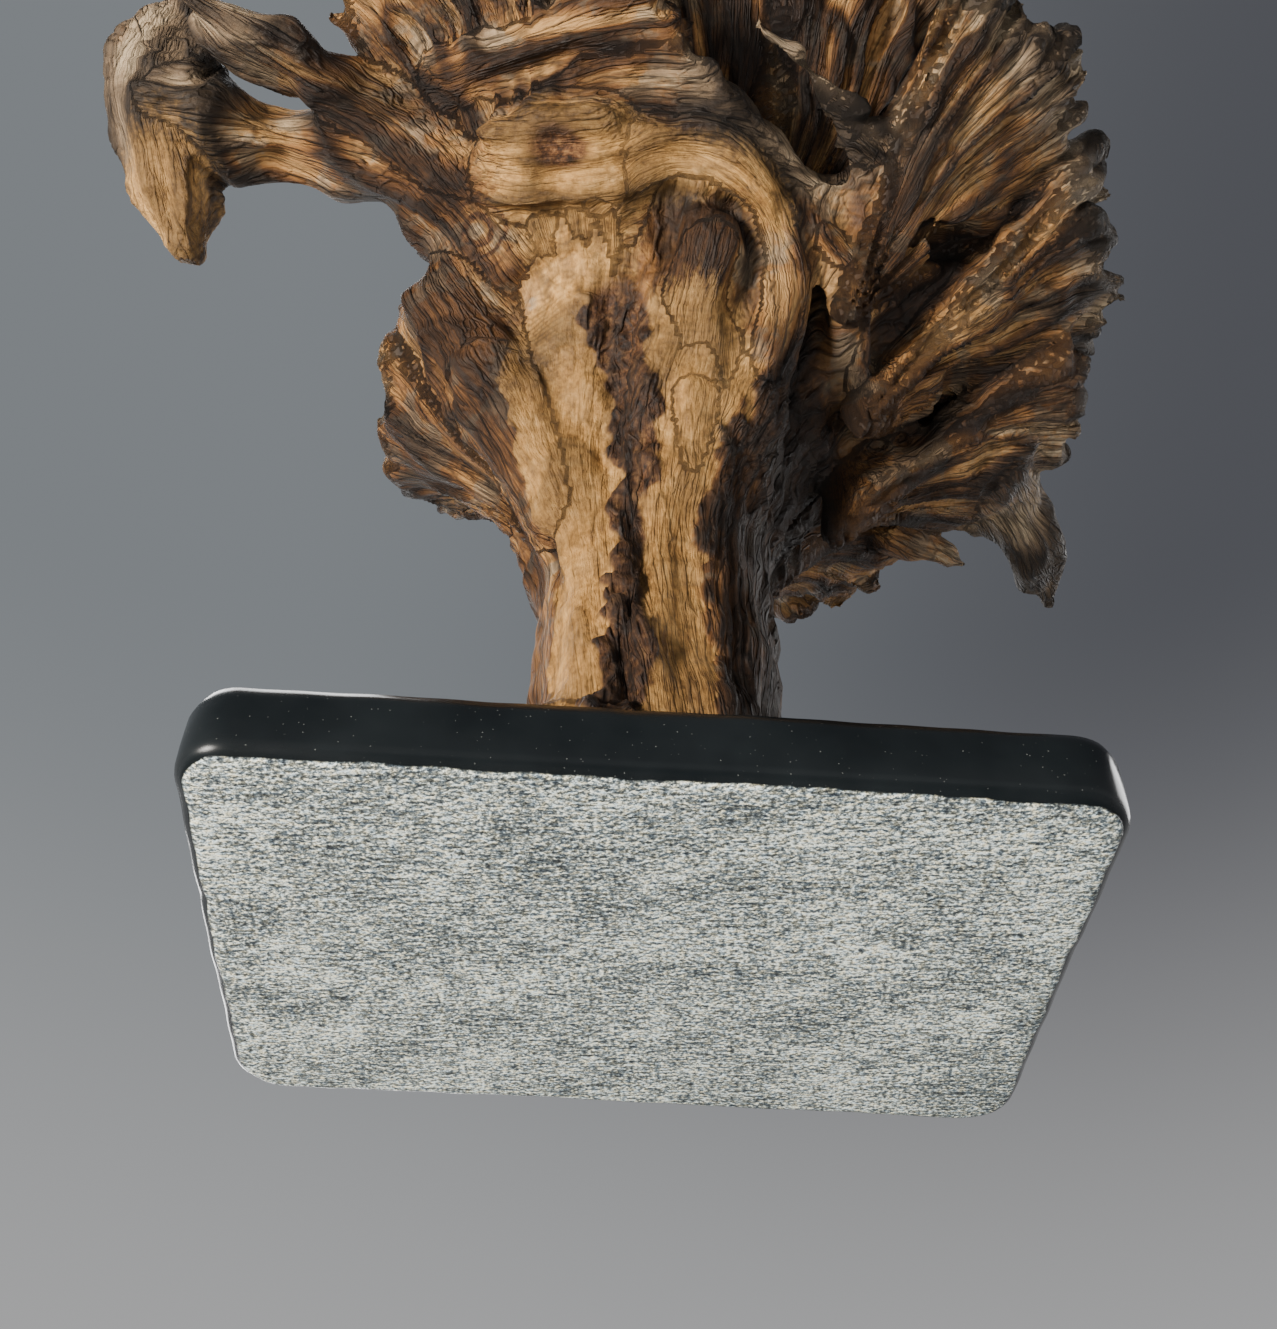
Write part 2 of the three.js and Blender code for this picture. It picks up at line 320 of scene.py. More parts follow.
def granite():
    """Black granite: polished where it is worked, sawn and glittering underneath, with glints painted
    into its colour.
    """
    stone = Finish("black_granite", specular_ior_level=0.28, ior=1.55)
    place = stone.place()
    height = stone.node("ShaderNodeSeparateXYZ", sockets=[place], output=2)
    edge = stone.noise(place, (0.004, 0.004, 0.004), detail=5.0, roughness=0.65)
    sawn = 1.0 - (height + edge * -0.0006).ramp(-0.0001, 0.00016)

    along_saw = (0.0, 0.0, math.radians(6.0))
    across_saw = (0.0, 0.0, math.radians(38.0))
    streak = stone.noise(place, (0.0044, 0.0011, 0.01), along_saw, detail=6.0,
                         roughness=0.7, distortion=0.15)
    glitter = stone.noise(place, (0.0008, 0.0006, 0.01), along_saw, detail=2.0, roughness=0.7)
    scratch = stone.noise(place, (0.009, 0.0006, 0.01), across_saw)
    blotch = stone.noise(place, (0.026, 0.013, 0.03), along_saw, detail=5.0, roughness=0.66)
    tint = stone.noise(place, (0.0014, 0.0008, 0.01), along_saw, detail=2.0)
    pits = stone.cells(place, (0.006, 0.0045, 0.02), along_saw).ramp(0.05, 0.16)
    grey = streak * 0.65 + glitter * 0.85 + blotch * 0.32 - scratch.ramp(0.6, 0.78) * 0.1
    # the near-white top of this ramp paints glints on the sawn face where the glitter specks are
    # brightest
    sawn_colour = stone.colours(grey - (1.0 - pits) * 0.12, [
        (0.73, rgb(0.014, 0.018, 0.023)), (0.85, rgb(0.1, 0.112, 0.118)),
        (0.93, rgb(0.31, 0.325, 0.31)), (1.0, rgb(0.98, 0.98, 0.9)),
    ])
    warmth = stone.colours(tint, [
        (0.36, rgb(0.7, 0.84, 0.96)), (0.5, rgb(0.95, 1.0, 0.96)), (0.64, rgb(1.0, 0.93, 0.72)),
    ])
    sawn_colour = stone.node("ShaderNodeMix", {"data_type": "RGBA", "blend_type": "MULTIPLY"},
                             {0: 1.0, 6: sawn_colour, 7: warmth}, output=2)

    speck = stone.cells(place, (0.0011, 0.0011, 0.0011))
    fleck = stone.noise(place, (0.0007, 0.0007, 0.0007), detail=2.0)
    pale = speck.ramp(0.05, 0.16, 1.0, 0.0) * fleck.ramp(0.5, 0.62)
    cloud = stone.noise(place, (0.018, 0.018, 0.018))
    black = stone.colours(cloud, [(0.3, rgb(0.003, 0.0042, 0.005)), (0.7, rgb(0.007, 0.009, 0.01))])
    polished_colour = stone.blend(pale * 0.4, black, rgb(0.2, 0.21, 0.19))

    smear = stone.noise(place, (0.03, 0.008, 0.008), detail=4.0, roughness=0.6)
    polished_roughness = smear.ramp(0.3, 0.75, 0.17, 0.29)
    sawn_roughness = glitter.ramp(0.35, 0.7, 0.62, 0.3)
    colour = stone.blend(sawn, polished_colour, sawn_colour)
    roughness = polished_roughness * (1.0 - sawn) + sawn_roughness * sawn
    grooves = (streak * 0.6 + glitter * 0.4) * sawn + cloud * (1.0 - sawn) * 0.1
    normal = stone.bump(grooves, 0.0013)
    return stone.surface(base_color=colour, roughness=roughness, normal=normal)


base = mesh_object("granite_slab", *bridged(slab_rings()), granite())
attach(base, "root")
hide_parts("stone_base")


# ---- Wood rose ----
# One woody gall that a host tree grew round a mistletoe's foot: a short stalk that opens into a
# cup of folded, ribbed petals. It is dug out of its bark, brushed and oiled, never carved.
VOXEL = 1.0
OPEN_AIR = 30.0


def hashed(x, y, z, seed):
    """A number from 0 to 1 for each whole-numbered place, the same on every run. Large primes
    and mixed bits keep neighbours unlike each other."""
    key = x.astype(np.uint32) * np.uint32(73856093)
    key ^= y.astype(np.uint32) * np.uint32(19349663)
    key ^= z.astype(np.uint32) * np.uint32(83492791)
    key ^= np.uint32((seed * 40503 + 977) % 2**32)
    key ^= key >> np.uint32(13)
    key *= np.uint32(1274126177)
    key ^= key >> np.uint32(16)
    return (key & np.uint32(65535)).astype(np.float32) / 65535


def noise(x, y, z, seed=0):
    """Smooth noise of 0 to 1 with lumps about one unit wide."""
    x, y, z = np.broadcast_arrays(x, y, z)
    cell = [np.floor(axis).astype(np.int32) for axis in (x, y, z)]
    part = [axis - whole for axis, whole in zip((x, y, z), cell)]
    ease = [share * share * (3 - 2 * share) for share in part]
    total = 0.0
    for corner in range(8):
        step = (corner & 1, corner >> 1 & 1, corner >> 2 & 1)
        weight = 1.0
        for share, one in zip(ease, step):
            weight = weight * (share if one else 1 - share)
        total = total + weight * hashed(*(whole + one for whole, one in zip(cell, step)), seed)
    return total


def crease(turns):
    """Rounded ridges, one a turn, with sharp valleys between them: 0 in a valley, 1 on a ridge."""
    return np.abs(np.sin(turns * math.pi))


def mix(low, high, share):
    return low + (high - low) * share


def step_up(value, low, high):
    share = np.clip((value - low) / (high - low), 0, 1)
    return share * share * (3 - 2 * share)


def soft_min(one, other, reach):
    overlap = np.maximum(reach - np.abs(one - other), 0)
    return np.minimum(one, other) - overlap * overlap / (4 * reach)


def soft_max(one, other, reach):
    return -soft_min(-one, -other, reach)


wood_low = np.array(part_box("wood_rose")[0]) / MM
SEAT = wood_low[2]


class Stalk:
    """The stalk, its foot and the cup that it opens into, as one turned and fluted body."""

    low = (-92, -92, 10)
    high = (92, 92, 200)
    radius = 23.0
    flare_start = 88.0
    flare_end = 176.0
    bark_bearing = -1.79
    crevice_bearing = -2.5

    def local(self, x, y, z):
        bend = 2.0 * np.sin(z / 34 + 0.6)
        x = x - bend
        y = y + 1.5 * np.sin(z / 27)
        angle = np.arctan2(y, x)
        across = np.hypot(x, y)
        twist = angle + 0.18 * np.sin(2 * angle + 1.0) + 0.1 * np.sin(z / 26 + angle)
        return angle, across, twist

    def distance(self, x, y, z):
        angle, across, twist = self.local(x, y, z)
        climb = np.clip((z - self.flare_start) / (self.flare_end - self.flare_start), 0, 1)
        rim = 60 + 15 * np.cos(angle + 0.44)
        foot = 1 - step_up(z, SEAT, SEAT + 26)
        under = self.radius + 6.5 * foot * foot + (rim - self.radius) * climb * climb
        turns = twist / (2 * math.pi)
        folds = 1.4 * crease(5 * turns + 0.2) + 0.8 * crease(13 * turns)
        folds += climb * 5.0 * (crease(9 * turns + 0.35 * np.sin(z / 30)) - 0.5)
        folds += climb * 2.2 * (crease(23 * turns) - 0.5)
        # the bark channel and the long crevice on its left
        folds -= 2.6 * np.exp(-((angle - self.bark_bearing) / 0.13) ** 2)
        crevice = angle - self.crevice_bearing - 0.1 * np.sin(z / 20)
        folds -= 5.0 * np.exp(-(crevice / 0.09) ** 2) * step_up(z, 70, 110)
        slope = 2 * (rim - self.radius) * climb / (self.flare_end - self.flare_start)
        outside = (across - under - folds) / np.sqrt(1 + slope * slope)
        dish = 158 + 26 * (across / rim) ** 2 + 3.5 * (crease(9 * turns + across / 60) - 0.5)
        return soft_max(outside, (z - dish) * 0.9, 5)

    def grain(self, x, y, z):
        angle, across, twist = self.local(x, y, z)
        ring = 24.0
        along = z + np.maximum(across - ring, 0)
        return ring * np.cos(twist), ring * np.sin(twist), along, np.maximum(across / ring, 1)


class Petal:
    """A ribbed fan. It leaves its root steeply and lies back to a ragged rim."""

    def __init__(self, root, heading, spread, length, rim, wall, ribs, ragged=3.5, curl=5.0,
                 fold=5.0, crosswise=False, seed=0):
        self.root, self.length, self.rim, self.wall = root, length, rim, wall
        self.heading, self.spread = math.radians(heading), math.radians(spread)
        self.ribs, self.ragged, self.curl, self.fold = ribs, ragged, curl, fold
        self.crosswise, self.seed = crosswise, seed
        reach = length + ragged + 6
        side = reach * math.sin(min(self.spread + 0.3, math.pi / 2)) + 8
        corners = []
        for forward in (-8, reach):
            for across in (-side, side):
                corners.append(self.spot(forward, across))
        xs, ys = zip(*corners)
        self.low = (min(xs), min(ys), root[2] - 26)
        self.high = (max(xs), max(ys), max(rim, root[2]) + curl + fold + wall + 8)

    def spot(self, forward, across):
        turn = (math.cos(self.heading), math.sin(self.heading))
        return (self.root[0] + forward * turn[0] - across * turn[1],
                self.root[1] + forward * turn[1] + across * turn[0])

    def local(self, x, y):
        dx, dy = x - self.root[0], y - self.root[1]
        forward = dx * math.cos(self.heading) + dy * math.sin(self.heading)
        side = dy * math.cos(self.heading) - dx * math.sin(self.heading)
        reach = np.hypot(forward, side)
        bearing = np.arctan2(side, forward)
        share = reach / self.length
        wander = 0.10 * np.sin(4 * share + self.seed) + 0.05 * np.sin(9 * share + 2 * self.seed)
        across = bearing / self.spread + wander
        folds = crease(across * self.ribs / 2 + 0.37 * self.seed)
        flute = crease(across * self.ribs * 1.37 + 0.71 * self.seed)
        lift = share * (self.fold * (folds - 0.55) + 0.35 * self.fold * (flute - 0.5))
        lift = lift + self.curl * share * across * across
        middle = self.root[2] + (self.rim - self.root[2]) * np.minimum(share, 1.3) ** 0.62 + lift
        return reach, bearing, share, across, folds, middle

    def distance(self, x, y, z):
        reach, bearing, share, across, folds, middle = self.local(x, y)
        slope = 0.62 * (self.rim - self.root[2]) / self.length / np.maximum(share, 0.12) ** 0.38
        wall = mix(1.7 * self.wall, self.wall, step_up(share, 0.0, 0.7)) * (0.75 + 0.4 * folds)
        wall = wall * mix(1.0, 0.42, step_up(share, 0.55, 1.1))
        teeth = noise(across * self.ribs * 1.1, share * 1.5, z / 30, self.seed)
        fringe = noise(across * self.ribs * 3.3, share * 2, z / 14, self.seed + 7)
        edge = self.length + self.ragged * (2.2 * teeth - 1.3) + 1.2 * self.ragged * (fringe - 0.5)
        edge = edge + 2.5 * (folds - 0.6)
        sheet = np.abs(z - middle) / np.sqrt(1 + slope * slope) - wall
        beyond = np.clip(np.abs(bearing) - self.spread, -math.pi / 2, math.pi / 2)
        solid = soft_max(sheet, (reach - edge) * 0.9, 3.5)
        return soft_max(solid, reach * np.sin(beyond), 4)

    def grain(self, x, y, z):
        reach, bearing, share, across, folds, middle = self.local(x, y)
        along = reach + 31.0 * self.seed
        if self.crosswise:
            return along, z - middle, bearing * 60 - 0.01 * along ** 2, np.ones_like(along)
        room = share / 0.85 * (1 - 0.85 * step_up(np.abs(across), 0.8, 1.05))
        return across * self.spread * self.length * 0.85, z - middle, along, room


class Limb:
    """A rounded limb through a few stations of (x, y, z, half width, half thickness)."""

    def __init__(self, *stations, seed=0, pieces=4):
        self.seed = seed
        self.stations = self.smoothed(np.array(stations, float), pieces)
        bulk = self.stations[:, 3:].max() + 6
        self.low = tuple(self.stations[:, :3].min(axis=0) - bulk)
        self.high = tuple(self.stations[:, :3].max(axis=0) + bulk)

    @staticmethod
    def smoothed(stations, pieces):
        """The stations with points of a Catmull-Rom curve put in between them."""
        padded = np.vstack([2 * stations[0] - stations[1], stations, 2 * stations[-1] - stations[-2]])
        curve = []
        for before, start, end, after in zip(padded, padded[1:], padded[2:], padded[3:]):
            for step in range(pieces):
                t = step / pieces
                curve.append(0.5 * (2 * start + (end - before) * t
                                    + (2 * before - 5 * start + 4 * end - after) * t * t
                                    + (3 * start - before - 3 * end + after) * t ** 3))
        curve.append(stations[-1])
        return np.array(curve)

    def nearest(self, x, y, z):
        """How far each point is from the limb's skin, and where it is along and across it."""
        best = np.full(np.shape(x), 1e3, np.float32)
        where = [np.zeros(np.shape(x), np.float32) for _ in range(3)]
        run = 0.0
        for start, end in zip(self.stations, self.stations[1:]):
            axis = end[:3] - start[:3]
            length = np.linalg.norm(axis)
            axis = axis / length
            side = np.cross(axis, (0, 0, 1) if abs(axis[2]) < 0.85 else (1, 0, 0))
            side = side / np.linalg.norm(side)
            up = np.cross(side, axis)
            dx, dy, dz = x - start[0], y - start[1], z - start[2]
            along = dx * axis[0] + dy * axis[1] + dz * axis[2]
            share = np.clip(along / length, 0, 1)
            width = mix(start[3], end[3], share)
            thickness = mix(start[4], end[4], share)
            sideways = dx * side[0] + dy * side[1] + dz * side[2]
            upward = dx * up[0] + dy * up[1] + dz * up[2]
            smaller = np.minimum(width, thickness)
            past = along - share * length
            distance = (np.sqrt((sideways / width) ** 2 + (upward / thickness) ** 2
                                + (past / smaller) ** 2) - 1) * smaller
            closer = distance < best
            best = np.where(closer, distance, best)
            for store, value in zip(where, (sideways, upward, run + along)):
                store[closer] = value[closer] if np.ndim(value) else value
            run += length
        return best, where

    def distance(self, x, y, z):
        return self.nearest(x, y, z)[0]

    def grain(self, x, y, z):
        sideways, upward, along = self.nearest(x, y, z)[1]
        return sideways + 17.0 * self.seed, upward, along + 43.0 * self.seed, np.ones_like(along)


stalk = Stalk()
collar = Petal((2, -4, 128), -80, 36, 82, 184, 5.5, 3, ragged=2.5, fold=2.0, curl=2, crosswise=True,
               seed=1)
left_front = Petal((-8, -14, 130), -117, 25, 98, 206, 6.5, 4, seed=2)
top_front = Petal((0, -10, 160), -92, 30, 98, 222, 4.5, 4, seed=3)
right_front = Petal((22, -30, 168), -62, 30, 76, 220, 4.5, 4, seed=4)
upper_right = Petal((40, -36, 156), -34, 37, 68, 203, 6.0, 6, ragged=6.0, fold=4.5, seed=5)
right = Petal((46, -16, 146), 4, 40, 67, 190, 7.0, 6, ragged=5.0, fold=4.0, seed=6)
lower_right = Petal((42, 2, 126), 10, 29, 64, 170, 7.0, 5, ragged=5, fold=4.0, seed=7)
back_right = Petal((18, 14, 104), 47, 36, 62, 168, 5.0, 6, ragged=4.5, fold=6.0, seed=8)
back = Petal((2, 16, 118), 92, 40, 58, 184, 5.0, 6, ragged=4.5, fold=5.5, seed=9)
back_left = Petal((-10, 12, 116), 128, 34, 46, 178, 5.5, 5, ragged=3.5, seed=10)
left_shelf = Petal((-20, 0, 124), 168, 36, 48, 158, 9.0, 3, ragged=3.0, fold=3.0, curl=2, seed=11)
left_fold = Petal((-18, -12, 136), -164, 34, 38, 184, 8.0, 3, ragged=2.5, fold=4.0, seed=12)
petals = [collar, left_front, top_front, right_front, upper_right, right, lower_right,
          back_right, back, back_left, left_shelf, left_fold]

arm = Limb((-34, -32, 170, 15, 13), (-56, -47, 184, 9, 9), (-82, -51, 188, 8.5, 8),
           (-103, -54, 189, 12, 9), (-116, -55, 190, 10, 8), seed=1)
club = Limb((-112, -34, 170, 4, 4), (-114, -42, 179, 9, 8), (-117, -53, 190, 12.5, 9),
            (-118, -63, 199, 12, 9), (-115, -71, 206, 5, 5), seed=2)
finger = Limb((-40, -44, 180, 13, 11), (-64, -60, 188, 9, 9), (-86, -70, 190, 8, 7),
              (-105, -79, 193, 5, 4.5), seed=3)
horn = Limb((84, 12, 160, 10, 6), (98, 32, 166, 7.5, 5.5), (107, 47, 168, 5, 4.5),
            (112, 56, 168, 3, 2.5), (116, 65, 168, 0.8, 0.8), seed=4)
spur = Limb((62, 26, 152, 5, 4), (76, 36, 160, 3.5, 3), (85, 44, 163, 1.5, 1.5), seed=11)
toe = Limb((-6, -8, SEAT + 14, 16, 14), (-22, -25, SEAT + 5, 12, 9), (-40, -43, SEAT, 7, 4),
           seed=5)
burl = Limb((-34, -56, 174, 13, 9), (-15, -60, 173, 13, 9), seed=6)
lip = Limb((-16, -56, 168, 6, 4), (-8, -63, 169, 5, 3.5), (2, -66, 168.5, 4, 3),
           (12, -64, 168, 3.5, 3), (21, -57, 164, 3.5, 3), (26, -47, 157, 3.5, 3),
           (26, -39, 148, 3, 2.5), (23, -33, 138, 2, 2), seed=7)
inner_fold = Limb((6, -16, 114, 9, 5), (7, -27, 132, 9, 5), (8, -39, 147, 8, 5),
                  (10, -48, 155, 5, 4), seed=9)
side_fold = Limb((-22, -12, 104, 8, 7), (-30, -16, 128, 10, 8), (-40, -20, 148, 12, 9),
                 (-50, -26, 162, 12, 9), seed=10)
front_strand = Limb((-52, -66, 190, 9, 7), (-32, -76, 188, 8, 7), (-8, -84, 188, 8, 6),
                    (12, -86, 188, 6, 5), (26, -82, 186, 4, 4), seed=12)
right_ridge = Limb((37, -48, 166, 4, 4), (44, -38, 164, 5, 5), (46, -22, 156, 5, 5),
                   (52, -10, 158, 5, 5), (60, 0, 165, 4, 4), seed=8)
limbs = [arm, club, finger, horn, spur, toe, burl, lip, inner_fold, side_fold, front_strand,
         right_ridge]
joins = {toe: 8, arm: 8, finger: 6, club: 5, horn: 6, spur: 3, side_fold: 7, front_strand: 4,
         right_ridge: 5}
# what stands in or over the hollows, joined after they are cut
raised = {burl: 5, lip: 7, inner_fold: 9}

hollows = [
    # the pocket under the lip
    Limb((1, -57, 162, 5, 4), (1, -48, 153, 5, 4), (0, -40, 140, 2, 2)),
    Limb((17, -56, 160, 8, 7), (19, -43, 147, 7, 7), (19, -31, 126, 3, 3)),
    # the deep fold between the stalk and the right-hand petals
    Limb((34, -38, 164, 5, 5), (36, -26, 148, 6, 6), (31, -13, 120, 5, 5), (27, -2, 88, 3, 3)),
    # folds under the right-hand petals
    Limb((58, -46, 176, 5, 4), (68, -42, 180, 6, 4), (78, -40, 183, 3, 3)),
    Limb((66, -8, 161, 4, 3), (78, -1, 167, 4, 3), (88, 3, 171, 2, 2)),
    # crevice above the root of the finger
    Limb((-44, -62, 178, 2, 4), (-60, -68, 185, 3, 5), (-78, -76, 193, 2.5, 6)),
    # the cleft between the front petals and the upper right one
    Limb((40, -60, 184, 4, 9), (34, -66, 185, 6, 14), (26, -73, 186, 7, 17), (14, -82, 188, 7, 17),
         (1, -94, 192, 6, 14)),
    # the gap between the arm and the finger
    Limb((-82, -62, 190, 2.5, 9), (-94, -63, 190, 3, 9), (-104, -65, 191, 2.5, 8)),
]


def window(axes, body):
    """The slices of the grid that hold a body."""
    slices = []
    for axis, low, high in zip(axes, body.low, body.high):
        start, stop = np.searchsorted(axis, (low, high))
        slices.append(slice(start, stop))
    return tuple(slices)


def grown_wood():
    """The wood's skin as points and four-sided faces, with how deep in a fold each point lies."""
    lows, highs = (-140, -122, SEAT - 2), (132, 92, 244)
    axes = [np.arange(low, high, VOXEL, dtype=np.float32) for low, high in zip(lows, highs)]
    depth = np.full([len(axis) for axis in axes], OPEN_AIR, np.float32)

    def part(body):
        where = window(axes, body)
        x, y, z = np.meshgrid(*(axis[cut] for axis, cut in zip(axes, where)), indexing="ij")
        x = x + 1.6 * np.sin(z / 17 + y / 23) + 0.7 * np.sin(y / 7 + z / 9)
        y = y + 1.6 * np.sin(x / 19 + z / 21) + 0.7 * np.sin(x / 8 + z / 7)
        z = z + 1.2 * np.sin(x / 15 + y / 18)
        return where, body.distance(x, y, z)

    for body, reach in [(stalk, 6)] + [(petal, 5) for petal in petals] + list(joins.items()):
        where, distance = part(body)
        depth[where] = soft_min(depth[where], distance, reach)
    for hollow in hollows:
        where, distance = part(hollow)
        depth[where] = soft_max(depth[where], -distance, 4)
    for body, reach in raised.items():
        where, distance = part(body)
        depth[where] = soft_min(depth[where], distance, reach)
    depth = np.maximum(depth, SEAT - axes[2][None, None, :])

    grid = openvdb.FloatGrid(background=OPEN_AIR)
    grid.copyFromArray(np.ascontiguousarray(depth))
    points, quads = grid.convertToQuads(isovalue=0.0)
    crowding = blurred(depth < 0, max(2, round(5.0 / VOXEL)))
    cells = np.clip(np.rint(points).astype(int), 0, np.array(depth.shape) - 1)
    cavity = crowding[cells[:, 0], cells[:, 1], cells[:, 2]]
    points = points * VOXEL + np.array([axis[0] for axis in axes])
    return without_crumbs(points, quads[:, ::-1], cavity)


def without_crumbs(points, quads, cavity):
    """The skin without the loose crumbs that hang clear of the one big piece."""
    piece = np.arange(len(points))
    while True:
        lowest = piece[quads].min(axis=1)
        joined = piece.copy()
        np.minimum.at(joined, quads.ravel(), np.repeat(lowest, 4))
        joined = joined[joined]
        if np.array_equal(joined, piece):
            break
        piece = joined
    kept = piece == np.bincount(piece).argmax()
    renumbered = np.cumsum(kept) - 1
    return points[kept], renumbered[quads[kept[quads[:, 0]]]], cavity[kept]


def blurred(solid, reach):
    """The share of wood within a box round each point."""
    total = solid.astype(np.float32)
    for axis in range(3):
        summed = np.cumsum(np.pad(total, [(reach + 1, reach) if a == axis else (0, 0)
                                          for a in range(3)]), axis=axis)
        count = total.shape[axis]
        lower = np.take(summed, np.arange(count), axis=axis)
        upper = np.take(summed, np.arange(count) + 2 * reach + 1, axis=axis)
        total = (upper - lower) / (2 * reach + 1)
    return total


def normals_of(points, quads):
    first = points[quads[:, 2]] - points[quads[:, 0]]
    second = points[quads[:, 3]] - points[quads[:, 1]]
    facing = np.cross(first, second)
    normals = np.zeros_like(points)
    for corner in range(4):
        for axis in range(3):
            normals[:, axis] += np.bincount(quads[:, corner], facing[:, axis], len(points))
    return normals / np.maximum(np.linalg.norm(normals, axis=1, keepdims=True), 1e-9)


def strip(angle, low, high, soft=0.05):
    """1 between two bearings round the stalk, in degrees."""
    low, high = math.radians(low), math.radians(high)
    return step_up(angle, low - soft, low + soft) * (1 - step_up(angle, high - soft, high + soft))


def stalk_bearing(x, y, z):
    """The bearing round the stalk, with the sway that the edges of its strips have."""
    sway = 0.05 * np.sin(z / 11) + 0.22 * (noise(x / 7, y / 7, z / 9, 31) - 0.5)
    return np.arctan2(y, x) + sway + 0.12 * (noise(x / 2.5, y / 2.5, z / 3, 32) - 0.5)


def stalk_share(x, y, z):
    """1 on the stalk, 0 out on the petals."""
    return (1 - step_up(z, 150, 172)) * (1 - step_up(np.hypot(x, y), 36, 50))


def strip_relief(x, y, z):
    """How high the stalk's strips of smooth wood, rough bark and grooved wood stand."""
    bearing = stalk_bearing(x, y, z)
    bark = strip(bearing, -113, -94, 0.02)
    grooved = strip(bearing, -62, 30, 0.03)
    flaked = strip(bearing, -145, -113, 0.02)
    crumbs = noise(x / 2.4, y / 2.4, z / 5, 33) + 0.6 * noise(x / 1.2, y / 1.2, z / 2.4, 34)
    grooves = crease(noise(x / 1.9, y / 1.9, z / 60, 35) * 2)
    flakes = step_up(noise(x / 9, y / 9, z / 12, 36), 0.46, 0.54)
    height = bark * (2.6 * (crumbs - 0.85) - 1.2) + grooved * (1.3 * (grooves - 0.7) - 1.0)
    return stalk_share(x, y, z) * (height + flaked * (0.9 * flakes - 0.3))


def weathering(grain, rough):
    """How high the ribs, strings and cracks along the grain stand. They fade out where the grain
    is squeezed together, at the root of a petal."""
    across, through, along, room = grain
    sway = 2.4 * noise(across / 14, through / 20, along / 20, 20)
    broad = crease(noise((across + sway) / 12, through / 22, along / 70, 21) * 2.4)
    ribs = crease(noise((across + sway) / 7, through / 20, along / 45, 22) * 2)
    strings = noise((across + sway) / 2.6, through / 9, along / 18, 23)
    cracks = crease(noise((across - sway) / 13, through / 16, along / 34, 25) * 2.4)
    height = 2.6 * (broad - 0.6) * step_up(room, 0.1, 0.5)
    height = height + (0.7 + 1.5 * rough) * (ribs - 0.6) * step_up(room, 0.2, 0.7)
    height = height + 0.9 * (strings - 0.5) * step_up(room, 0.5, 1.0)
    return height - (0.6 + 1.6 * rough) * np.maximum(0, 0.5 - cracks) * 2.6 * step_up(room, 0.3, 0.8)


# how far from a body its grain still counts, and how much farther than the nearest one
GRAIN_REACH = 9
GRAIN_SHARED = 6


def carved_by_weather(points, quads):
    """The points moved along the grain's relief, with their grain and that relief. Where two
    bodies meet, both grains share it."""
    x, y, z = (points[:, axis].astype(np.float32) for axis in range(3))
    rough = step_up(noise(x / 26, y / 26, z / 26, 24), 0.25, 0.7)
    nearest = np.full(len(points), 1e3, np.float32)
    found = []
    for body in [stalk, *petals, *limbs]:
        rows = np.nonzero(np.all((points > np.array(body.low)) & (points < np.array(body.high)),
                                 axis=1))[0]
        distance = body.distance(x[rows], y[rows], z[rows])
        rows, distance = rows[distance < GRAIN_REACH], distance[distance < GRAIN_REACH]
        found.append((body, rows, distance))
        nearest[rows] = np.minimum(nearest[rows], distance)
    grain = np.zeros((len(points), 3), np.float32)
    total, relief = (np.zeros(len(points), np.float32) for _ in range(2))
    for body, rows, distance in found:
        close = distance < nearest[rows] + GRAIN_SHARED
        rows, distance = rows[close], distance[close]
        own = body.grain(x[rows], y[rows], z[rows])
        height = weathering(own, rough[rows])
        weight = np.exp(-(distance - nearest[rows]) / 1.2)
        total[rows] += weight
        relief[rows] += weight * height
        first = distance <= nearest[rows]
        grain[rows[first]] = np.stack(own[:3], axis=1)[first]
    total = np.maximum(total, 1e-6)
    calm = 0.3 + 0.7 * step_up(z, 105, 165)
    seated = step_up(z, SEAT, SEAT + 3)
    lumps = noise(x / 13, y / 13, z / 13, 26) + 0.45 * noise(x / 5.5, y / 5.5, z / 5.5, 27) - 0.72
    height = relief / total * calm + strip_relief(x, y, z)
    swell = 4.2 * lumps * (0.25 + 0.75 * calm)
    return points + normals_of(points, quads) * ((height + swell) * seated)[:, None], grain, height


points, quads, cavity = grown_wood()
skin = points.copy()
points, grain, relief = carved_by_weather(points, quads)


def spot(centre, size):
    """1 at a place on the wood, fading out over size millimetres."""
    apart = (skin - np.array(centre)) / np.array(size)
    return np.exp(-np.sum(apart * apart, axis=1))


KNOT = (-42, -44, 166)
# how much, centre and size of each patch of colour or of painted shade, in millimetres
PATCHES = {
    "pale": [(1.0, (-24, -60, 170), (19, 15, 16)), (0.8, (-2, -64, 166), (24, 8, 8)),
             (1.0, (-20, -46, 156), (12, 9, 12)), (0.75, (8, -38, 140), (9, 14, 26)),
             (0.6, (24, -56, 162), (8, 12, 12)), (0.8, (-116, -46, 172), (16, 24, 18))],
    "bark": [(1.0, (-24, -66, 166), (8, 5, 6))],
    # painted shade in hollows under the back-left and right-hand petals, between the arm and the
    # finger, and in the fold beside the stalk
    "painted_shade": [(1.0, (-44, 22, 148), (14, 16, 16)), (1.2, (-76, -70, 184), (24, 12, 9)),
             (0.4, (36, 10, 116), (16, 24, 28)), (1.0, (38, -22, 142), (12, 22, 26)),
             (0.5, (48, -40, 170), (16, 14, 14))],
    "grey": [(0.7, (-117, -50, 186), (9, 16, 20)), (1.2, (22, -70, 180), (28, 22, 16)),
             (0.45, (100, 30, 170), (26, 30, 20))],
}


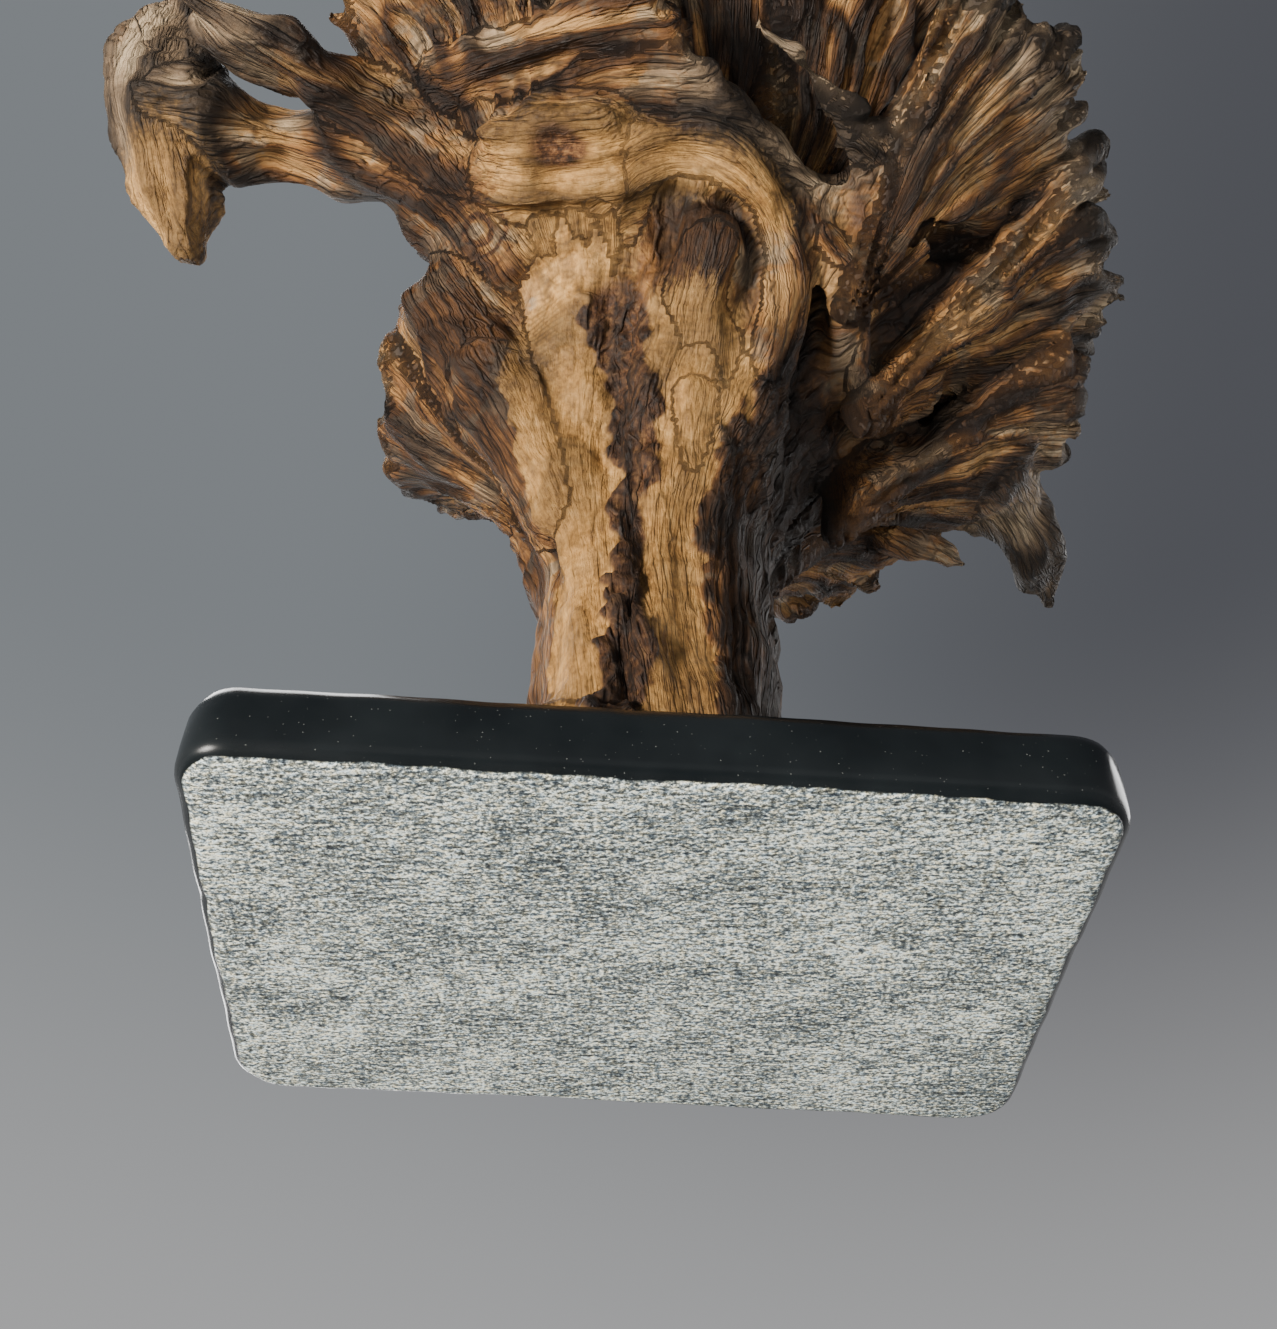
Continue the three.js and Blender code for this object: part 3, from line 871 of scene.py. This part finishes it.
def wood_zones():
    """Where the wood is pale, bark-red or grey, and where painted shade darkens it, each from 0 to 1.
    """
    x, y, z = skin.T.astype(np.float32)
    angle = stalk_bearing(x, y, z)
    across = np.hypot(x, y)
    on_stalk = stalk_share(x, y, z)
    knot = np.linalg.norm((skin - np.array(KNOT)) * (1.0, 1.0, 1.3), axis=1)
    rings = (0.5 + 0.5 * np.sin(knot * 1.9)) * spot(KNOT, (12, 12, 12))
    right = step_up(x, 34, 70)
    zones = {
        "pale": on_stalk * (1.3 * strip(angle, -145, -113) + 0.6 * strip(angle, -94, -62)),
        "bark": on_stalk * strip(angle, -113, -94) + 0.9 * rings,
        # painted shade down the recess on the stalk's right, and over the whole right-hand side, away
        # from the key light
        "painted_shade": on_stalk * strip(angle, -62, -8, 0.25) * 0.5 + 0.16 * right,
        "grey": 0.6 * step_up(across, 100, 124) + 0.5 * step_up(z, 200, 228) + 0.32 * right,
    }
    for name, patches in PATCHES.items():
        for amount, centre, size in patches:
            zones[name] = zones[name] + amount * spot(centre, size)
    # painted shade along the cleft between the front petals and the upper right one
    for along_cleft in (0.0, 0.33, 0.67, 1.0):
        centre = mix(np.array((6, -84, 202)), np.array((46, -50, 194)), along_cleft)
        zones["painted_shade"] = zones["painted_shade"] + 0.9 * spot(centre, (8, 8, 13))
    return zones


def gall_wood():
    """Brown weathered wood: strings and ribs along the grain, with painted light and shade: paler
    crests, and darker valleys, folds, cracks and furrows.
    """
    wood = Finish("weathered_gall_wood", specular_ior_level=0.22)
    grain = wood.stored("grain", "Vector")
    place = wood.place()
    cavity = wood.stored("cavity")
    relief = wood.stored("relief")
    fibre = wood.noise(grain, (1.1, 2.0, 17.0), detail=6.0, roughness=0.68)
    fine = wood.noise(grain, (0.42, 0.9, 8.0), roughness=0.6)
    bands = wood.noise(grain, (6.0, 9.0, 60.0))
    lumps = wood.noise(place, (0.016, 0.016, 0.02), detail=5.0, roughness=0.62)
    crumbs = wood.noise(place, (0.0016, 0.0016, 0.0022), detail=4.0, roughness=0.7)

    hairs = wood.noise(grain, (0.22, 0.5, 5.0), detail=2.0, roughness=0.6)
    bent = wood.node("ShaderNodeVectorMath", {"operation": "MULTIPLY_ADD"},
                     [wood.node("ShaderNodeTexNoise", {}, {"Vector": grain, "Scale": 0.12}, output=1),
                      (2.6, 2.6, 9.0), grain])
    cracks = wood.cells(bent, (3.4, 6.0, 30.0), feature="DISTANCE_TO_EDGE")
    fissures = wood.cells(bent, (1.5, 3.0, 11.0), feature="DISTANCE_TO_EDGE")
    # split and furrow darken the wood along its cracks and furrows with painted shade, and cut them
    # into the bump too
    split = 1.0 - cracks.ramp(0.0, 0.07) * (0.55 + 0.45 * fissures.ramp(0.0, 0.09))
    flutes = wood.noise(grain, (2.2, 6.0, 30.0), detail=2.0)
    furrow = flutes.ramp(0.445, 0.495, 1.0, 0.0).maximum(flutes.ramp(0.505, 0.555))
    rough_wood = 1.0 - 0.72 * wood.stored("pale").minimum(1.0)
    sound = 1.0 - split * rough_wood
    furrow = 1.0 - (1.0 - furrow) * rough_wood
    patches = wood.noise(place, (0.011, 0.011, 0.008), detail=4.0, roughness=0.6)

    # open_air and crest are painted shade: the wood is darker the deeper it lies in a fold and in the
    # valleys of its relief, and paler on its crests
    open_air = cavity.ramp(0.4, 0.72, 1.0, 0.0)
    crest = relief.ramp(-1.6, 1.4)
    tone = fibre * 0.46 + fine * 0.2 + hairs * 0.12 + bands * 0.26 + lumps * 0.26 + crest * 0.3
    colour = wood.colours(tone, [
        (0.5, rgb(0.011, 0.005, 0.003)), (0.63, rgb(0.048, 0.02, 0.006)),
        (0.75, rgb(0.14, 0.057, 0.016)), (0.86, rgb(0.275, 0.124, 0.036)),
        (0.97, rgb(0.42, 0.23, 0.082)),
    ])
    grey_tone = fibre * 0.55 + fine * 0.25 + crest * 0.34 + lumps * 0.2
    grey_colour = wood.colours(grey_tone, [
        (0.36, rgb(0.026, 0.02, 0.013)), (0.54, rgb(0.098, 0.072, 0.045)),
        (0.72, rgb(0.195, 0.15, 0.098)), (0.92, rgb(0.37, 0.305, 0.21)),
    ])
    pale_tone = fibre * 0.35 + crumbs * 0.45 + lumps * 0.3
    pale_colour = wood.colours(pale_tone, [
        (0.38, rgb(0.089, 0.041, 0.012)), (0.48, rgb(0.284, 0.143, 0.038)),
        (0.57, rgb(0.483, 0.253, 0.072)), (0.7, rgb(0.693, 0.405, 0.144)),
    ])
    bark_colour = wood.colours(crumbs * 0.6 + fibre * 0.4, [
        (0.4, rgb(0.018, 0.008, 0.003)), (0.5, rgb(0.1, 0.04, 0.014)),
        (0.62, rgb(0.27, 0.132, 0.049)),
    ])
    ragged = (crumbs - 0.5) * 0.5 + (fibre - 0.5) * 0.5

    def zone(name):
        return (wood.stored(name) + ragged).ramp(0.3, 0.62)

    greyed = (zone("grey") * 0.75).maximum(patches.ramp(0.52, 0.6) * 0.6)
    colour = wood.blend(greyed, colour, grey_colour)
    colour = wood.blend(zone("pale") * 0.85, colour, pale_colour)
    colour = wood.blend(zone("bark"), colour, bark_colour)
    # light is painted shade, not a lamp: it darkens the colour towards near black in folds, relief
    # valleys, the patches of painted shade, cracks and furrows
    light = (0.25 + 0.75 * open_air) * (1.0 - zone("painted_shade") * 0.62) * (0.35 + 0.65 * crest)
    light = light * (0.4 + 0.6 * sound) * (0.44 + 0.56 * furrow)
    shaded = wood.blend(light, rgb(0.006, 0.004, 0.003), colour)
    roughness = fibre.ramp(0.35, 0.7, 0.58, 0.85)
    grooves = fibre * 0.55 + fine * 0.25 + crumbs * 0.25 + hairs * 0.12 + sound * 0.3 + furrow * 0.4
    return wood.surface(base_color=shaded, roughness=roughness, normal=wood.bump(grooves, 0.0014))


mesh = bpy.data.meshes.new("gall_wood")
mesh.vertices.add(len(points))
mesh.vertices.foreach_set("co", (points * MM).astype(np.float32).ravel())
mesh.loops.add(4 * len(quads))
mesh.loops.foreach_set("vertex_index", quads.astype(np.int32).ravel())
mesh.polygons.add(len(quads))
mesh.polygons.foreach_set("loop_start", np.arange(0, 4 * len(quads), 4, dtype=np.int32))
mesh.polygons.foreach_set("use_smooth", np.ones(len(quads), bool))
mesh.update(calc_edges=True)
mesh.attributes.new("grain", "FLOAT_VECTOR", "POINT").data.foreach_set("vector", grain.ravel())
for name, values in {"cavity": cavity, "relief": relief, **wood_zones()}.items():
    stored = mesh.attributes.new(name, "FLOAT", "POINT")
    stored.data.foreach_set("value", np.asarray(values, np.float32))
mesh.materials.append(gall_wood())
rose = bpy.data.objects.new("gall_wood", mesh)
bpy.context.scene.collection.objects.link(rose)
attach(rose, "root")
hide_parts("wood_rose")


# ---- Glue bed ----
# Amber epoxy between the wood's foot and the stone. It was pressed out all round when the rose
# was set down, and stands as a low glossy bead against the foot.
GLUE_STEPS = 240
PIN_GLUE_GAP = 3.6


def foot_radii():
    """How far the wood reaches over the stone in each direction, in millimetres."""
    near = points[points[:, 2] < SEAT + 2.5]
    bearing = (np.arctan2(near[:, 1], near[:, 0]) / (2 * math.pi) % 1.0 * GLUE_STEPS).astype(int)
    reach = np.zeros(GLUE_STEPS)
    np.maximum.at(reach, bearing % GLUE_STEPS, np.hypot(near[:, 0], near[:, 1]))
    spread = np.array([np.roll(reach, shift) for shift in range(-3, 4)])
    return spread.max(axis=0) * 0.5 + spread.mean(axis=0) * 0.5


def glue_rings():
    """The bead's rings, from the pin's hole out along the stone, up and back in."""
    radii = foot_radii()
    top = SEAT - 0.1
    profile = [(None, stone_height + 0.04), (1.7, stone_height + 0.04), (1.9, stone_height + 0.4),
               (1.5, stone_height + 1.1), (0.8, SEAT + 0.35), (0.2, SEAT + 0.5), (-1.2, top),
               (None, top)]
    rings = []
    for spare, height in profile:
        ring = []
        for step, radius in enumerate(radii):
            bearing = 2 * math.pi * (step + 0.5) / GLUE_STEPS
            press = 1.0 + waves(bearing, 3, (3, 8, 19), (0.22, 0.16, 0.1))
            out = PIN_GLUE_GAP if spare is None else radius + spare * press
            ring.append((out * MM * math.cos(bearing), out * MM * math.sin(bearing), height * MM))
        rings.append(ring)
    return rings


def set_epoxy():
    """Clear amber glue with dust on it and a few trapped bubbles."""
    glue = Finish("set_epoxy", ior=1.52)
    place = glue.place()
    haze = glue.noise(place, (0.004, 0.004, 0.002), detail=4.0)
    bubbles = glue.cells(place, (0.0012, 0.0012, 0.0012)).ramp(0.1, 0.3, 1.0, 0.0)
    amber = glue.colours(haze, [(0.35, rgb(0.06, 0.03, 0.01)), (0.65, rgb(0.14, 0.08, 0.03))])
    colour = glue.blend(bubbles * 0.3, amber, rgb(0.3, 0.22, 0.12))
    return glue.surface(base_color=colour, roughness=haze.ramp(0.35, 0.7, 0.12, 0.4),
                        normal=glue.bump(haze, 0.0003))


bead = mesh_object("epoxy_bead", *bridged(glue_rings(), looped=True), set_epoxy())
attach(bead, "root")
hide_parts("glue_bed")


# ---- Mounting pin ----
# A cut length of drawn steel rod with filed ends. It stands in the stone's blind hole and runs
# up the middle of the stalk, out of sight.
pin_low, pin_high = (np.array(corner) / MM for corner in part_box("mounting_pin"))
PIN_STEPS = 48
PIN_CHAMFER = 0.7


def pin_rings():
    """The pin's rings from its lower end up, with grooves rolled round it to hold the glue."""
    radius = (pin_high[0] - pin_low[0]) / 2
    length = pin_high[2] - pin_low[2]
    profile = [(radius - PIN_CHAMFER, 0.0), (radius, PIN_CHAMFER)]
    grooves = 6
    for groove in range(grooves):
        middle = length * (groove + 0.5) / grooves
        profile += [(radius, middle - 0.5), (radius - 0.25, middle - 0.2),
                    (radius - 0.25, middle + 0.2), (radius, middle + 0.5)]
    profile += [(radius, length - PIN_CHAMFER), (radius - PIN_CHAMFER, length)]
    bearings = [2 * math.pi * step / PIN_STEPS for step in range(PIN_STEPS)]
    return [circle(out, pin_low[2] + height, bearings) for out, height in profile]


def drawn_steel():
    """Drawn steel rod: fine lines along it and a little grey bloom."""
    steel = Finish("drawn_steel", metallic=1.0)
    place = steel.place()
    lines = steel.noise(place, (0.0003, 0.0003, 0.02))
    bloom = steel.noise(place, (0.005, 0.005, 0.005), detail=4.0)
    colour = steel.colours(bloom, [(0.35, rgb(0.42, 0.42, 0.43)), (0.65, rgb(0.6, 0.61, 0.63))])
    return steel.surface(base_color=colour, roughness=lines.ramp(0.3, 0.7, 0.24, 0.46),
                         normal=steel.bump(lines, 0.00005))


pin = mesh_object("steel_pin", *bridged(pin_rings()), drawn_steel())
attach(pin, "root")
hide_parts("mounting_pin")


# ---- Stage ----
# A sheet of pale paper to stand on, seen from above only, that melts into a backdrop dome that glows
# with painted light and shade.
PAPER_TOP = 0.0003
PAPER_REACH = 3.0
paper_corners = [(x * PAPER_REACH, y * PAPER_REACH, PAPER_TOP)
                 for x, y in ((-1, -1), (1, -1), (1, 1), (-1, 1))]
paper_finish = Finish("floor_paper", roughness=0.7, specular_ior_level=0.2)
place = paper_finish.place()
apart = paper_finish.node("ShaderNodeVectorMath", {"operation": "LENGTH"}, [place], output=1)
underneath = paper_finish.node("ShaderNodeNewGeometry", output="Backfacing")
clear = paper_finish.node("ShaderNodeBsdfTransparent")
solid = Field(paper_finish, paper_finish.shader.outputs[0])
seen = paper_finish.node("ShaderNodeMixShader", {},
                         [underneath.maximum(apart.ramp(0.45, 1.3)), solid, clear])
output = next(node for node in paper_finish.nodes if node.type == "OUTPUT_MATERIAL")
paper_finish.links.new(seen.socket, output.inputs[0])
paper_finish.surface(base_color=rgb(0.5, 0.5, 0.505))
floor = mesh_object("floor", paper_corners, [(0, 1, 2, 3)], paper_finish.material)
floor.visible_shadow = False
floor.visible_diffuse = False

DOME_RADIUS = 4.0
DOME_RINGS, DOME_STEPS = 24, 48
dome_rings = []
for ring in range(DOME_RINGS + 1):
    climb = math.pi * (ring / DOME_RINGS - 0.5)
    around, high = DOME_RADIUS * math.cos(climb), DOME_RADIUS * math.sin(climb)
    turns = [2 * math.pi * step / DOME_STEPS for step in range(DOME_STEPS)]
    dome_rings.append([(around * math.cos(turn), around * math.sin(turn), high) for turn in turns])
backdrop_finish = Finish("glowing_backdrop", roughness=1.0, base_color=rgb(0, 0, 0),
                         emission_strength=1.0, specular_ior_level=0.0)
place = backdrop_finish.place()
sideways, height = (backdrop_finish.node("ShaderNodeSeparateXYZ", sockets=[place], output=axis)
                    for axis in (0, 2))
# The dome glows with painted light and shade: pale up to about a metre high, darker higher up, and
# darker towards +x.
shade = backdrop_finish.blend(sideways.ramp(-0.9, 1.6), rgb(0.205, 0.222, 0.238),
                              rgb(0.085, 0.088, 0.1))
backdrop_colour = backdrop_finish.blend(height.ramp(0.9, 2.9), rgb(0.44, 0.44, 0.445), shade)
backdrop_finish.surface(emission_color=backdrop_colour)
backdrop = mesh_object("backdrop", *bridged(dome_rings), backdrop_finish.material)
backdrop.visible_diffuse = False
backdrop.visible_shadow = False

world = bpy.data.worlds.new("studio")
world.use_nodes = True
sky = world.node_tree.nodes["Background"].inputs
sky[0].default_value = rgb(0.9, 0.95, 1.0)
sky[1].default_value = 0.25
bpy.context.scene.world = world


def soft_light(name, place, aim, power, size, colour=(1.0, 1.0, 1.0)):
    light = bpy.data.lights.new(name, "AREA")
    light.energy = power
    light.shape = "DISK"
    light.size = size
    light.color = colour
    lamp = bpy.data.objects.new(name, light)
    lamp.location = place
    lamp.rotation_euler = (Vector(aim) - Vector(place)).to_track_quat("-Z", "Y").to_euler()
    bpy.context.scene.collection.objects.link(lamp)


soft_light("key", (-0.78, -0.6, -0.32), (0, 0, 0.1), 34.0, 0.3, (1.0, 0.95, 0.88))
soft_light("top", (-0.3, 0.35, 1.1), (0, 0, 0.15), 12.0, 0.8)
soft_light("side", (0.9, 0.3, 0.5), (0, 0, 0.15), 6.0, 0.6)
soft_light("back", (-0.3, 0.95, 0.4), (0, 0, 0.15), 6.0, 0.6)
soft_light("under", (-0.1, -0.45, -0.8), (0, 0, 0), 4.0, 0.5)
soft_light("lower right", (0.75, -0.35, -0.25), (0.07, 0.02, 0.14), 3.0, 0.5)
